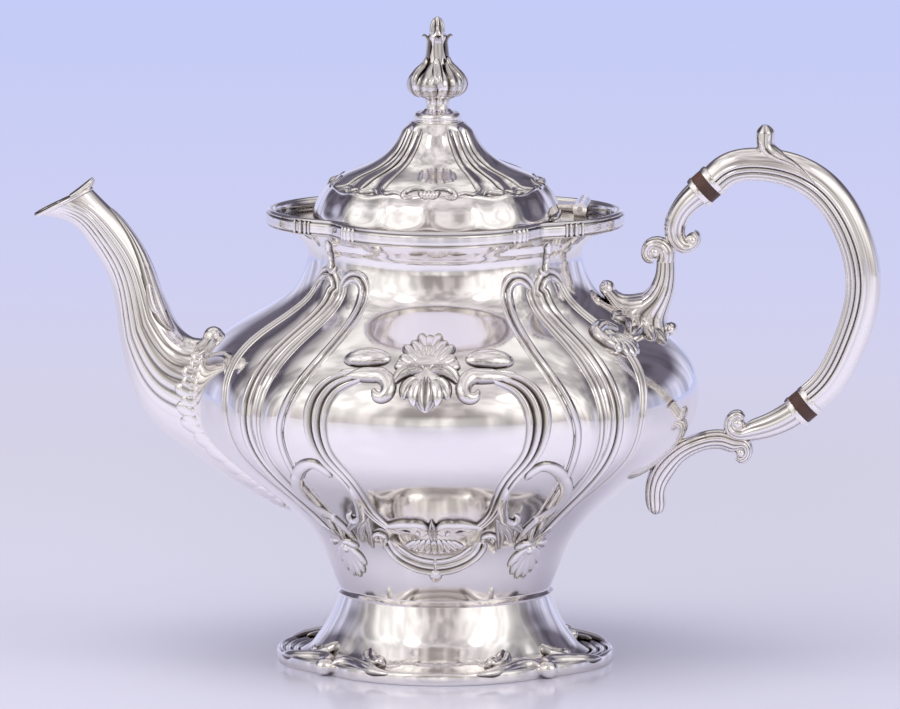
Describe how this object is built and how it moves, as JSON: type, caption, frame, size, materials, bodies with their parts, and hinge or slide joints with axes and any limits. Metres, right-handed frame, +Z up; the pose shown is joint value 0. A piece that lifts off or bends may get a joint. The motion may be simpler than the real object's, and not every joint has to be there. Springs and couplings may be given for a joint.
{
  "type": "silver teapot",
  "caption": "Squat panelled silver teapot with a lobed foot and rim, hinged domed lid with a bud finial, S-shaped spout and reeded C handle with heat breaks.",
  "frame": {"origin": "on the pot's vertical axis at the table, the middle of the foot's underside", "axes": "+Z up; the spout points along -X and the handle along +X; the two broad panels face -Y and +Y"},
  "size_m": [0.3143, 0.1894, 0.2402],
  "materials": {
    "silver": "polished sterling silver, darker in the recesses",
    "silver_plain": "plain drawn or pierced silver, satin",
    "insulator": "matt dark brown, bone or composition"
  },
  "bodies": {
    "pot": {"body_shell": "silver", "neck_shell": "silver", "spout_strainer": "silver_plain", "foot_collar": "silver", "foot_skirt": "silver", "foot_border": "silver", "mouth_flange": "silver", "rim_border": "silver", "lid_seat_ring": "silver", "hinge_knuckles": "silver", "hinge_pin": "silver_plain", "spout": "silver", "spout_mount": "silver", "insulator_upper": "insulator", "insulator_lower": "insulator", "insulator_pins": "silver_plain", "handle_grip": "silver", "thumb_rest": "silver", "handle_socket_upper": "silver", "handle_socket_lower": "silver", "strap_back_handle": "silver", "strap_back_spout": "silver", "strap_front_spout": "silver", "strap_front_handle": "silver", "front_cartouche": "silver", "front_crest": "silver", "back_cartouche": "silver", "back_crest": "silver"},
    "lid": {"lid_dome": "silver", "lid_straps": "silver", "lid_bezel": "silver", "lid_knuckle": "silver", "finial_collar": "silver", "finial": "silver", "finial_stud": "silver_plain", "finial_washer": "silver_plain", "finial_nut": "silver_plain"}
  },
  "joints": [
    {"name": "lid_hinge", "type": "hinge", "parent": "pot", "child": "lid", "pos_m": [0.0506, 0, 0.17], "axis": [0, 1, 0], "range_deg": [0, 95]}
  ]
}
